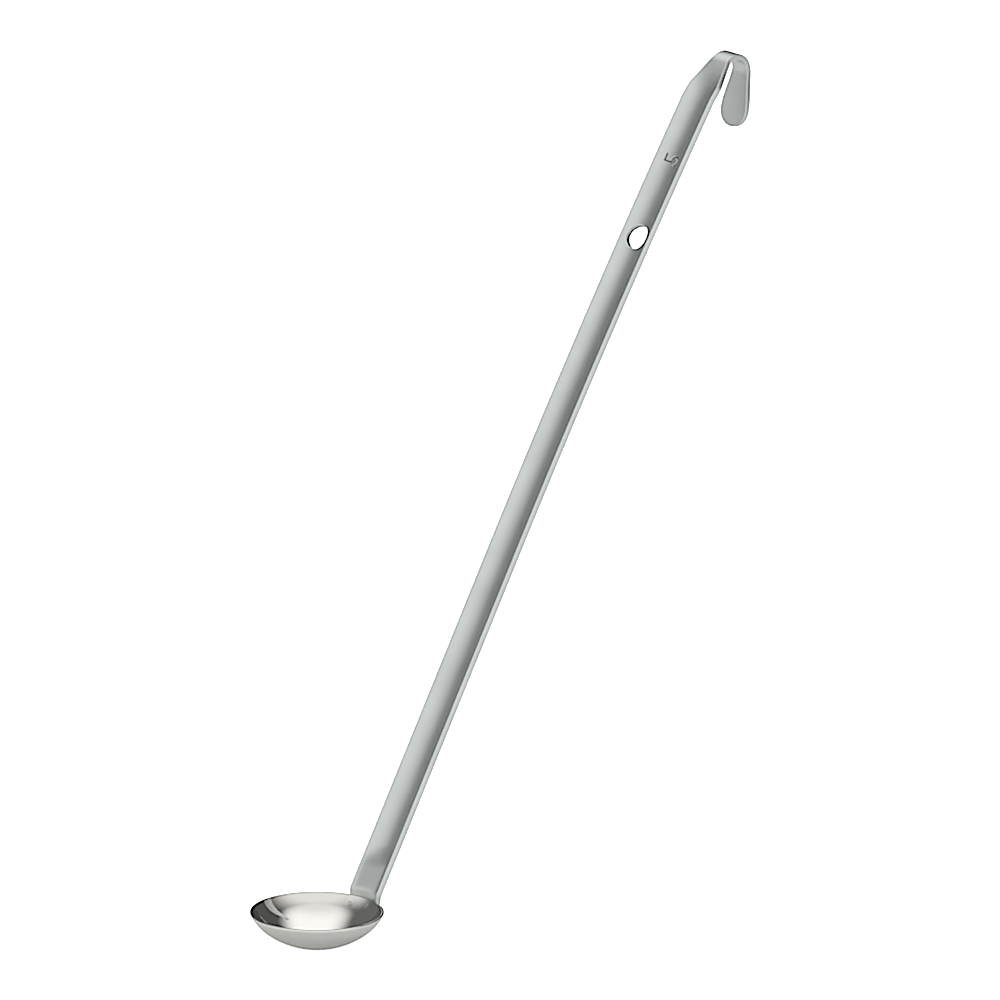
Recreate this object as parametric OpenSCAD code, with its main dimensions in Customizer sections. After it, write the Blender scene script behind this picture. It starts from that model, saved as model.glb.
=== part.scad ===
// Small long-handled ladle: a pressed steel bowl, a trough-shaped strip handle that ends in a hook,
// and the two spot welds that join them. Millimetres, +Z up, bowl level, handle leaning towards +X.
// The origin is the centre of the hanging hole.

/* [Bowl] */
// Outside diameter of the bowl at its rim
bowl_d = 50; // [42:1:60]
// Outside depth of the bowl below the top of its rim
bowl_depth = 13.7; // [12:0.1:17]
// Slope of the wall where it reaches the rim, in degrees from level
rim_slope = 62; // [56:1:74]
// Slope of the wall where the flat curve of the floor turns into the tighter curve of the side
floor_slope = 36; // [30:1:46]
// Sheet thickness of the bowl
bowl_wall = 1.2; // [0.8:0.1:1.8]

/* [Handle strip] */
// Width of the strip across its front edges
strip_w = 13.8; // [11:0.2:18]
// Sheet thickness of the strip
strip_t = 2.1; // [1.5:0.1:3]
// Radius of the trough that is pressed along the strip
trough_r = 12; // [11:0.5:40]
// Length from the rim of the bowl to the start of the hook
shaft_len = 331.6; // [250:0.2:420]
// Lean of the lower shaft, in degrees from upright
lean = 32; // [27:0.5:40]
// Extra lean that the bow adds by the start of the hook, in degrees
bow = 3.4; // [1:0.1:8]
// Length of the bowed upper part of the shaft
bow_len = 195; // [100:5:220]
// Radius of the bend just above the rim, where the strip turns from the wall's slope to its lean
root_r = 40; // [20:5:80]
// Length above the rim over which the foot's hollow turns into the flat floor of the root
root_rise = 4; // [3:0.5:8]
// Length above the rim at which the flat floor starts to deepen into the trough
root_flat = 12; // [9:1:20]
// Length over which it deepens
root_blend = 10; // [8:1:24]
// Length of the foot that follows the wall below the rim
foot_len = 11; // [9.5:0.5:14]

/* [Hanging hole] */
// Diameter of the hanging hole
hole_d = 9.4; // [5:0.2:11]
// Distance of its centre below the start of the hook, along the strip
hole_from_hook = 62.5; // [30:0.1:90]

/* [Hook] */
// Length over which the strip narrows from the shaft to the neck
taper_len = 12.5; // [9:0.5:24]
// Width of the neck
neck_w = 7.8; // [5:0.2:9]
// Length of the gentle curve that leads into the hook
lead_len = 10.4; // [6:0.2:14]
// Turn of that gentle curve, in degrees
lead_turn = 11; // [5:1:20]
// Inside radius of the hook
hook_r = 5.8; // [4:0.1:12]
// Turn of the hook itself, in degrees
hook_turn = 148; // [120:1:165]
// Straight length past the hook's bend, to the tip of the paddle
drop_len = 20; // [15:0.2:30]
// Diameter of the round paddle
paddle_d = 12.8; // [9:0.2:16]
// Length on the neck side of the paddle over which the neck widens
paddle_blend = 17; // [8:0.5:20]
// Length over which the trough flattens out at the hook
run_out = 17; // [8:1:24]
// Part of that length that lies on the shaft
run_out_on_shaft = 7; // [2:1:10]

/* [Spot welds] */
// Diameter of a weld
weld_d = 3; // [2:0.2:4]
// Distance of each weld's centre from the side edge of the strip
weld_inset = 2.2; // [1.8:0.1:4]
// Distance of the welds below the rim, along the wall
weld_below = 2.7; // [2.5:0.1:4.5]
// Depth to which a weld reaches into the strip
weld_depth = 1.1; // [0.4:0.1:1.4]

/* [Hidden] */
$fn = 96;

bright_steel = [0.80, 0.80, 0.79];
satin_steel = [0.74, 0.76, 0.75];
weld_grey = [0.62, 0.63, 0.63];

// The middle of the bowl's wall runs from the centre of the round rim down a side arc to a flatter
// floor arc. The two slopes fix both radii, because the arcs together span the bowl's width and depth.
half_wall = bowl_wall / 2;
rim_c = [bowl_d / 2 - half_wall, -half_wall];
mid_depth = bowl_depth - bowl_wall;
floor_out = sin(floor_slope);
floor_up = 1 - cos(floor_slope);
side_out = sin(rim_slope) - sin(floor_slope);
side_up = cos(floor_slope) - cos(rim_slope);
arc_share = floor_out * side_up - floor_up * side_out;
floor_mid_r = (rim_c[0] * side_up - mid_depth * side_out) / arc_share;
side_mid_r = (mid_depth * floor_out - rim_c[0] * floor_up) / arc_share;
floor_r = floor_mid_r + half_wall;
side_r = side_mid_r + half_wall;
floor_c = [0, floor_r - bowl_depth];
side_c = rim_c + side_mid_r * [-sin(rim_slope), cos(rim_slope)];
// The floor runs on past the slope where the two arcs touch, so that they join. In degrees.
seam = 0.5;

// The strip's path is the middle of its front face, in the plane of the handle. It is a chain of arcs,
// each with a length and a turn away from upright, from the end of the foot to the tip of the paddle.
function arc_turn(length, radius) = length / radius * 180 / PI;
function arc_length(turn, radius) = abs(turn) * PI / 180 * radius;
side_len = arc_length(rim_slope - floor_slope, side_r);
foot_on_side = min(foot_len, side_len);
foot_on_floor = foot_len - foot_on_side;
wall_lean = 90 - rim_slope;
root_len = arc_length(lean - wall_lean, root_r);
plain_len = shaft_len - root_len - bow_len;
hook_len = arc_length(hook_turn, hook_r + strip_t);
chain = [
    [foot_on_floor, -arc_turn(foot_on_floor, floor_r)],
    [foot_on_side, -arc_turn(foot_on_side, side_r)],
    [root_len, lean - wall_lean],
    [plain_len, 0],
    [bow_len, bow],
    [lead_len, lead_turn],
    [hook_len, hook_turn],
    [drop_len, 0]
];
foot_slope = rim_slope - arc_turn(foot_on_side, side_r) - arc_turn(foot_on_floor, floor_r);
foot_end = foot_on_floor > 0
    ? floor_c + floor_r * [sin(foot_slope), -cos(foot_slope)]
    : side_c + side_r * [sin(foot_slope), -cos(foot_slope)];

// A place on the path is [x, z, lean]. Places are measured along the strip from the rim of the bowl.
function go_on(place, length, turn) =
    abs(turn) < 0.001
    ? place + [length * sin(place[2]), length * cos(place[2]), turn]
    : let (r = length / turn * 180 / PI)
      [place[0] + r * (cos(place[2]) - cos(place[2] + turn)),
       place[1] + r * (sin(place[2] + turn) - sin(place[2])),
       place[2] + turn];
function chain_start(i) = i == 0 ? -foot_len : chain_start(i - 1) + chain[i - 1][0];
function chain_place(i) =
    i == 0
    ? [foot_end[0], foot_end[1], 90 - foot_slope]
    : go_on(chain_place(i - 1), chain[i - 1][0], chain[i - 1][1]);
starts = [for (i = [0 : len(chain) - 1]) chain_start(i)];
places = [for (i = [0 : len(chain) - 1]) chain_place(i)];
function path(s) =
    let (i = max([for (k = [0 : len(chain) - 1]) if (k == 0 || starts[k] <= s) k]),
         part = s - starts[i],
         share = chain[i][0] > 0 ? part / chain[i][0] : 0)
    go_on(places[i], part, chain[i][1] * share);
function front(place) = [-cos(place[2]), 0, sin(place[2])];
function point(place) = [place[0], 0, place[1]];

// Stations where the strip changes
strip_half = strip_w / 2;
neck_half = neck_w / 2;
paddle_r = paddle_d / 2;
round_foot_at = strip_half - foot_len;
trough_at = root_flat + root_blend;
neck_at = shaft_len + taper_len;
drop_at = shaft_len + lead_len + hook_len;
tip_at = drop_at + drop_len;
paddle_at = tip_at - paddle_r;
run_out_at = shaft_len - run_out_on_shaft;

// Half the width of the strip: round foot, shaft, taper, neck and paddle
function ease(u) = let (k = min(max(u, 0), 1)) k * k * (3 - 2 * k);
function round_half(radius, inset) = sqrt(max(pow(radius, 2) - pow(inset, 2), 0));
function half_width(s) =
    s < round_foot_at ? round_half(strip_half, round_foot_at - s)
    : s < shaft_len ? strip_half
    : s < neck_at ? strip_half + (neck_half - strip_half) * (s - shaft_len) / taper_len
    : s < paddle_at
      ? neck_half + (paddle_r - neck_half) * ease((s - paddle_at + paddle_blend) / paddle_blend)
    : round_half(paddle_r, s - paddle_at);

// How hollow the strip is across: it hugs the bowl at the foot, turns into the trough and ends flat.
function hug(s) = let (place = path(min(s, 0))) cos(place[2]) / place[0];
function hollow(s) =
    (hug(s) + (1 / trough_r - hug(s)) * ease(s / root_rise))
    * (1 - ease((s - run_out_at) / run_out));
function arc_rise(k, v) = k < 0.0001 ? 0 : (1 - sqrt(1 - pow(k * v, 2))) / k;

// Just above the rim the trough has a flat, raised floor. Its edges rise and lean as the trough's do,
// and the higher the power, the more squarely they turn up.
flat_power = 8;
trough_rise = arc_rise(1 / trough_r, strip_half);
function flat_rise(v) = trough_rise * (1 - 2 / flat_power * (1 - pow(abs(v) / strip_half, flat_power)));
function flat_slope(v) = 2 * trough_rise / strip_half * pow(abs(v) / strip_half, flat_power - 1) * sign(v);
function flatness(s) = ease(s / root_rise) * (1 - ease((s - root_flat) / root_blend));

// Rise of the front face above the path, and its lean across, at a distance from the middle
function rise(s, v) =
    (1 - flatness(s)) * arc_rise(hollow(s), v) + flatness(s) * flat_rise(v);
function tilt(s, v) =
    atan((1 - flatness(s)) * tan(asin(hollow(s) * v)) + flatness(s) * flat_slope(v));

// The foot is made a little proud of the wall, and the bowl then cuts its seat.
foot_bite = bowl_wall / 4;
bite_fade = weld_below / 2;
function bite(s) = foot_bite * (1 - ease((s + bite_fade) / bite_fade));

// One ring of the strip at a station: the front face from side to side, then the back face
across = 12;
sides = [for (i = [0 : across]) 2 * i / across - 1];
function strip_point(s, side, depth) =
    let (place = path(s), n = front(place), v = side * half_width(s), a = tilt(s, v))
    point(place) + [0, v, 0] + rise(s, v) * n - depth * (n * cos(a) - [0, sin(a), 0]);
function ring(s) = concat(
    [for (side = sides) strip_point(s, side, -bite(s))],
    [for (i = [across : -1 : 0]) strip_point(s, sides[i], strip_t)]);

// Stations of the rings. The round ends are stepped by angle, so that their outlines stay round.
end_angles = [5 : 8.5 : 85];
function spread(from, to, count) = [for (i = [0 : count - 1]) from + (to - from) * i / count];
stations = concat(
    [for (a = end_angles) strip_half * (1 - cos(a)) - foot_len],
    spread(round_foot_at, 0, 4),
    spread(0, root_rise, 5),
    spread(root_rise, trough_at, 10),
    spread(trough_at, run_out_at, 22),
    spread(run_out_at, shaft_len, 4),
    spread(shaft_len, neck_at, 8),
    spread(neck_at, drop_at, 20),
    spread(drop_at, paddle_at, 8),
    [for (a = end_angles) paddle_at + paddle_r * cos(90 - a + end_angles[0])]);

// The frame's origin, at the middle of the hanging hole
hole_place = path(shaft_len - hole_from_hook);
hole_middle = point(hole_place) - front(hole_place) * strip_t / 2;

// A slice of the plane around a centre, between two slopes measured from straight down
module slice(centre, from, to) {
    reach = 2 * bowl_d;
    translate(centre)
        polygon([[0, 0], reach * [sin(from), -cos(from)], reach * [sin(to), -cos(to)]]);
}

// A piece of the wall: the ring around one centre, cut between two slopes
module wall_arc(centre, mid_r, from, to) {
    intersection() {
        translate(centre)
            difference() {
                circle(mid_r + half_wall);
                circle(mid_r - half_wall);
            }
        slice(centre, from, to);
    }
}

module bowl_shell() {
    rotate_extrude()
        wall_arc(floor_c, floor_mid_r, 0, floor_slope + seam);
    rotate_extrude() {
        wall_arc(side_c, side_mid_r, floor_slope, rim_slope);
        translate(rim_c)
            circle(half_wall);
    }
}

// The two welds, from the inside of the wall through it and into the strip
module weld_pair() {
    place = path(-weld_below);
    inner = point(place) + front(place) * bowl_wall;
    turn = asin((strip_half - weld_inset) / inner[0]);
    for (side = [-1, 1])
        rotate([0, 0, side * turn])
            translate(inner)
                rotate([0, 90 + place[2], 0])
                    cylinder(d = weld_d, h = bowl_wall + weld_depth);
}

module strip() {
    rows = len(stations);
    row = 2 * (across + 1);
    points = [for (s = stations) each ring(s)];
    skin = [for (r = [0 : rows - 2]) for (c = [0 : row - 1])
        let (a = r * row + c, b = r * row + (c + 1) % row)
        each [[a, b, b + row], [a, b + row, a + row]]];
    ends = [for (c = [0 : across - 1])
        let (a = row - 1 - c, z = (rows - 1) * row)
        each [[c + 1, c, a], [c + 1, a, a - 1],
              [z + c, z + c + 1, z + a], [z + c + 1, z + a - 1, z + a]]];
    polyhedron(points, concat(skin, ends));
}

module hanging_hole() {
    rotate([0, hole_place[2] - 90, 0])
        cylinder(d = hole_d, h = 6 * strip_t, center = true);
}

module bowl() {
    color(bright_steel)
        translate(-hole_middle)
            difference() {
                bowl_shell();
                weld_pair();
            }
}

module handle() {
    color(satin_steel)
        difference() {
            translate(-hole_middle)
                difference() {
                    strip();
                    bowl_shell();
                    weld_pair();
                }
            hanging_hole();
        }
}

module weld_spots() {
    color(weld_grey)
        translate(-hole_middle)
            weld_pair();
}

bowl();
handle();
weld_spots();
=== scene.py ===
"""Looks of a small long-handled steel ladle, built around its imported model.

The bowl, the strip handle and the spot welds are made again as smooth meshes in the frame of the
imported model, with rounded edges, a struck numeral and satin, polished and welded steel.
"""

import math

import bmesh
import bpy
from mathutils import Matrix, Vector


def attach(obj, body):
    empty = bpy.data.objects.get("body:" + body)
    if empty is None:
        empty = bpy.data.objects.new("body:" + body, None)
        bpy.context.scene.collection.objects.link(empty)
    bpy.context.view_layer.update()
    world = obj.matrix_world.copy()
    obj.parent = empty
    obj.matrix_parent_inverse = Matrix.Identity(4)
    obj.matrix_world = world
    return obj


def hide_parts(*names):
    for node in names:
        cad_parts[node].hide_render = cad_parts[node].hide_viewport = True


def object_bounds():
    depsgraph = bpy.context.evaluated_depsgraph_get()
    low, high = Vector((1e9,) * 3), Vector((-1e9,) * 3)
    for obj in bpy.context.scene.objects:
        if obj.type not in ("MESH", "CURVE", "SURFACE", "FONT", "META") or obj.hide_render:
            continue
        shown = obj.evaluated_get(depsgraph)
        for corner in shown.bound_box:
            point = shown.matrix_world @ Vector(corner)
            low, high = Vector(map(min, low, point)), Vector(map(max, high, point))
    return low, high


bl_info = {
    "name": "Steel Ladle",
    "version": (1, 0, 0),
    "blender": (4, 5, 0),
    "location": "View3D > Sidebar > Ladle",
    "description": "Builds the pieces, the finishes and the stage of a small steel ladle",
    "category": "Object",
}

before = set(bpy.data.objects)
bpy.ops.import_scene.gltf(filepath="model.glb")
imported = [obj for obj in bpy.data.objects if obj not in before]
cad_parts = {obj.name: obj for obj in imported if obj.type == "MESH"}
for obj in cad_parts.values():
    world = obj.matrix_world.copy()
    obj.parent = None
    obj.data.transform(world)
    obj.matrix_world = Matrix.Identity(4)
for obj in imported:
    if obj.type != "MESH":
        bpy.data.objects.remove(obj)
CAD_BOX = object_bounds()
MM = 0.001
IMAGE_WIDTH = 1000
SIDEWAYS = Vector((0, 1, 0))


def linear(hex_code):
    """Linear red, green and blue of an sRGB hex colour."""
    shares = [int(hex_code[i:i + 2], 16) / 255 for i in (1, 3, 5)]
    return [c / 12.92 if c <= 0.04045 else ((c + 0.055) / 1.055) ** 2.4 for c in shares]


def size(name, description, millimetres):
    """A length property, given in millimetres."""
    return bpy.props.FloatProperty(name=name, description=description, default=millimetres * MM,
                                   min=0, precision=5, subtype="DISTANCE", unit="LENGTH")


def angle(name, description, degrees):
    """An angle property, given in degrees."""
    return bpy.props.FloatProperty(name=name, description=description,
                                   default=math.radians(degrees), subtype="ANGLE", unit="ROTATION")


def amount(name, description, value):
    """A plain number without a unit."""
    return bpy.props.FloatProperty(name=name, description=description, default=value, min=0)


def colour(name, description, hex_code):
    """A colour property, given as an sRGB hex value."""
    return bpy.props.FloatVectorProperty(name=name, description=description, size=3, min=0, max=1,
                                         default=linear(hex_code), subtype="COLOR")


# Sizes and colours
class LadleBowl(bpy.types.PropertyGroup):
    """Sizes of the pressed bowl"""
    rim_d: size("Rim diameter", "Outside diameter of the bowl at its rim", 50)
    depth: size("Depth", "Outside depth of the bowl below the top of its rim", 13.7)
    wall: size("Wall", "Sheet thickness of the bowl", 1.2)
    rim_slope: angle("Rim slope", "Slope of the wall where it reaches the rim", 62)
    floor_slope: angle("Floor slope", "Slope where the floor's curve turns into the side's", 36)
    rim_edge_r: size("Rim edge", "Rounding of the flat rim's outer edge", 0.4)
    rim_inner_r: size("Rim inner edge", "Rounding of the flat rim's inner edge", 0.12)


class LadleHandle(bpy.types.PropertyGroup):
    """Sizes of the strip handle, from its foot to the start of the hook"""
    strip_w: size("Strip width", "Width of the strip across its front edges", 13.8)
    strip_t: size("Strip thickness", "Sheet thickness of the strip", 2.1)
    edge_r: size("Front edge", "Radius of the tumbled edges of the front face", 0.25)
    back_edge_r: size("Back edge", "Radius of the tumbled edges of the back face", 0.25)
    trough_r: size("Trough radius", "Radius of the trough pressed along the strip", 12)
    shaft_len: size("Shaft length", "Length from the rim to the start of the hook", 331.6)
    bow_len: size("Bow length", "Length of the bowed upper part of the shaft", 195)
    root_r: size("Root radius", "Radius of the bend just above the rim", 40)
    root_rise: size("Root rise", "Length above the rim over which the foot turns into the flat root", 4)
    root_flat: size("Root flat", "Length above the rim at which the flat root starts to deepen", 12)
    root_blend: size("Root blend", "Length over which it deepens into the trough", 10)
    foot_len: size("Foot length", "Length of the foot that follows the wall below the rim", 11)
    hole_d: size("Hole diameter", "Diameter of the hanging hole", 9.4)
    hole_edge_r: size("Hole edge", "Rounding of the hanging hole's edges", 0.45)
    hole_from_hook: size("Hole place", "Distance of the hole below the start of the hook", 62.5)
    lean: angle("Lean", "Lean of the lower shaft from upright", 32)
    bow: angle("Bow", "Extra lean that the bow adds by the start of the hook", 3.4)


class LadleHook(bpy.types.PropertyGroup):
    """Sizes of the hook and its paddle"""
    taper_len: size("Taper length", "Length over which the strip narrows to the neck", 12.5)
    neck_w: size("Neck width", "Width of the neck", 7.8)
    lead_len: size("Lead length", "Length of the gentle curve that leads into the hook", 10.4)
    hook_r: size("Hook radius", "Inside radius of the hook", 5.8)
    drop_len: size("Drop length", "Straight length past the bend, to the paddle's tip", 20)
    paddle_d: size("Paddle diameter", "Diameter of the round paddle", 12.8)
    paddle_blend: size("Paddle blend", "Length over which the neck widens to the paddle", 17)
    run_out: size("Run-out", "Length over which the trough flattens out at the hook", 17)
    run_out_on_shaft: size("Run-out on shaft", "Part of the run-out that lies on the shaft", 7)
    lead_turn: angle("Lead turn", "Turn of the gentle curve", 11)
    hook_turn: angle("Hook turn", "Turn of the hook itself", 148)


class LadleNumeral(bpy.types.PropertyGroup):
    """Sizes of the plain size numeral that is struck into the strip"""
    height: size("Height", "Height of the numeral, across the strip", 6.4)
    width: size("Width", "Width of the numeral, along the strip", 3.6)
    stroke: size("Stroke", "Width of the struck line", 0.6)
    depth: size("Depth", "Depth of the struck line", 0.35)
    from_hook: size("Place", "Distance of its middle below the start of the hook", 30.9)


class LadleWelds(bpy.types.PropertyGroup):
    """Sizes of the two spot welds"""
    weld_d: size("Weld diameter", "Diameter of a weld", 3)
    inset: size("Inset", "Distance of each weld's centre from the side edge of the strip", 2.2)
    below: size("Below rim", "Distance of the welds below the rim, along the wall", 2.7)
    in_strip: size("In strip", "Depth of a weld in the strip, behind the wall of the bowl", 1.1)
    dent: size("Dent", "Depth of the dent that the electrode leaves", 0.07)


class LadleFinish(bpy.types.PropertyGroup):
    """Colours and gloss of the steel"""
    satin: colour("Satin steel", "Tumbled steel of the handle", "#C4C8C6")
    outside: colour("Bowl outside", "Tumbled steel of the bowl's outside", "#C9CAC6")
    polished: colour("Polished steel", "Polished steel of the bowl's inside", "#D1D0CC")
    # Partly the sheared steel's own grey and partly painted shade inside the hanging hole
    punched_and_shade: colour("Punched edge", "Sheared steel in the hanging hole", "#7A7E7C")
    # Painted shade: the colour that darkens the recessed line of the struck numeral
    struck: colour("Struck line", "Steel at the bottom of the numeral", "#6E7472")
    weld: colour("Weld", "Steel that was heated by the weld", "#C4C0BA")
    satin_roughness: amount("Satin roughness", "Roughness of the tumbled steel", 0.42)
    polish_roughness: amount("Polish roughness", "Roughness of the polished steel", 0.06)


class LadleStage(bpy.types.PropertyGroup):
    """Camera, floor and light"""
    azimuth: angle("Azimuth", "Turn of the camera around the ladle", -45.16)
    elevation: angle("Elevation", "Height of the camera above the level", 17.2)
    pixel: size("Pixel", "Size of one picture pixel at the ladle", 0.37286)
    rim_pixel_x: amount("Rim pixel x", "Picture column of the middle of the rim", 316.95)
    rim_pixel_y: amount("Rim pixel y", "Picture row of the middle of the rim", 911.15)
    camera_away: size("Camera distance", "Distance of the camera from the ladle", 1500)
    floor_w: size("Floor width", "Width of the table", 6000)
    floor: colour("Floor", "Colour of the table", "#EFEFEF")
    floor_glow: amount("Floor glow", "Light that comes up through the table", 0.15)
    floor_white: amount("Floor white", "Light of the table towards the camera", 0.85)
    box_light: amount("Light box", "Brightness of the light box overhead", 1.50)
    box_up: size("Box height", "Height of the light box above the rim", 1000)
    box_w: size("Box width", "Width of the light box", 1600)
    box_l: size("Box length", "Length of the light box, away from the camera", 1760)
    box_right: size("Box right", "Distance of its middle to the right of the rim", 75)
    box_away: size("Box away", "Distance of its middle beyond the rim", 620)
    side_light: amount("Side screen", "Brightness of the white screen on the left", 1.13)
    side_left: size("Side distance", "Distance of the side screen from the rim", 700)
    side_l: size("Side length", "Length of the side screen", 1800)
    side_h: size("Side height", "Height of the side screen", 1340)
    side_near: size("Side near", "Distance of its middle in front of the rim", 500)
    side_up: size("Side up", "Distance of its middle above the rim", 155)
    screen_fade: size("Screen fade", "Distance over which the light of both fades at their edges", 600)
    dark_left: amount("Dark left", "Brightness of the studio behind the ladle, on the left", 0.19)
    dark_right: amount("Dark right", "Brightness of the studio behind the ladle, on the right", 0.12)
    fill_light: amount("Fill light", "Brightness of the white screens beside the camera", 1.16)
    fill_top: amount("Fill top", "Brightness of the screens where they meet the light box", 1.14)
    backdrop: amount("Backdrop", "Light of the backdrop towards the camera", 1)
    softening: amount("Softening", "Share of the softened picture that the lens mixes in", 0.8)
    sharpening: amount("Sharpening", "Share of the sharpened picture that the camera mixes in", 0.30)


class Ladle(bpy.types.PropertyGroup):
    """All settings of the ladle"""
    bowl: bpy.props.PointerProperty(type=LadleBowl, name="Bowl", description="Bowl sizes")
    handle: bpy.props.PointerProperty(type=LadleHandle, name="Handle", description="Strip sizes")
    hook: bpy.props.PointerProperty(type=LadleHook, name="Hook", description="Hook sizes")
    numeral: bpy.props.PointerProperty(type=LadleNumeral, name="Numeral", description="Numeral")
    welds: bpy.props.PointerProperty(type=LadleWelds, name="Welds", description="Weld sizes")
    finish: bpy.props.PointerProperty(type=LadleFinish, name="Finish", description="Finishes")
    stage: bpy.props.PointerProperty(type=LadleStage, name="Stage", description="Stage")


# Shapes
# How squarely the flat floor of the root turns up at its edges
FLAT_POWER = 8
# Steps that find the front point opposite a point of the back
BACK_STEPS = 12


def ease(share):
    """Smooth step from 0 to 1."""
    k = min(max(share, 0), 1)
    return k * k * (3 - 2 * k)


def spread(start, end, spacing):
    """Even steps from start up to, but not including, end."""
    count = max(1, math.ceil((end - start) / spacing))
    return [start + (end - start) * i / count for i in range(count)]


def on_arc(centre, radius, slope):
    """Point of a bowl arc at a slope from level, as radius and height."""
    return centre + radius * Vector((math.sin(slope), -math.cos(slope)))


def cup(hollow, y):
    """Rise of a hollow at a sideways distance from its middle."""
    return hollow * y * y / (1 + math.sqrt(max(0, 1 - (hollow * y) ** 2)))


def go_on(place, length, turn):
    """The place, as x, z and lean, at the end of an arc that starts at another place."""
    x, z, lean = place
    end = lean + turn
    if abs(turn) < 1e-5:
        return x + length * math.sin(lean), z + length * math.cos(lean), end
    r = length / turn
    return x + r * (math.cos(lean) - math.cos(end)), z + r * (math.sin(end) - math.sin(lean)), end


class BowlShape:
    """The arcs of the bowl's wall, measured from the middle of the rim's top."""

    def __init__(self, bowl):
        half_wall = bowl.wall / 2
        mid_depth = bowl.depth - bowl.wall
        floor_out = math.sin(bowl.floor_slope)
        floor_up = 1 - math.cos(bowl.floor_slope)
        side_out = math.sin(bowl.rim_slope) - floor_out
        side_up = math.cos(bowl.floor_slope) - math.cos(bowl.rim_slope)
        share = floor_out * side_up - floor_up * side_out
        self.bowl = bowl
        self.wall = bowl.wall
        self.rim_slope = bowl.rim_slope
        self.floor_slope = bowl.floor_slope
        self.rim = Vector((bowl.rim_d / 2 - half_wall, -half_wall))
        self.floor_r = (self.rim.x * side_up - mid_depth * side_out) / share + half_wall
        self.side_r = (mid_depth * floor_out - self.rim.x * floor_up) / share + half_wall
        self.floor = Vector((0, self.floor_r - bowl.depth))
        self.side = on_arc(self.rim, half_wall - self.side_r, bowl.rim_slope)

    def wall_line(self, inset, spacing):
        """Points and slopes from the middle to the rim, at a depth below the outside."""
        floor_r = self.floor_r - inset
        side_r = self.side_r - inset
        floor = [(on_arc(self.floor, floor_r, a), a)
                 for a in spread(0, self.floor_slope, spacing / floor_r)]
        side = [(on_arc(self.side, side_r, a), a)
                for a in spread(self.floor_slope, self.rim_slope, spacing / side_r)]
        return floor + side

    def rim_line(self, steps):
        """Points of the rim, from the inside over its flat top to the outside."""
        half_wall = self.wall / 2
        slope = self.rim_slope
        inner = on_arc(self.rim, -half_wall, slope)
        outer = on_arc(self.rim, half_wall, slope)
        reach = self.rim.x + half_wall
        lip = Vector((inner.x - inner.y / math.tan(slope), 0))
        inner_r = self.bowl.rim_inner_r
        outer_r = self.bowl.rim_edge_r
        middle = Vector((lip.x + inner_r / math.tan((math.pi - slope) / 2), -inner_r))
        points = [inner]
        for i in range(steps + 1):
            a = slope + math.pi - slope * i / steps
            points.append(on_arc(middle, inner_r, a))
        for i in range(steps + 1):
            a = math.pi - math.pi / 2 * i / steps
            points.append(on_arc(Vector((reach - outer_r, -outer_r)), outer_r, a))
        points.append(Vector((reach, outer.y + (reach - outer.x) * math.tan(slope))))
        return [(point, slope) for point in points + [outer]]


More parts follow.
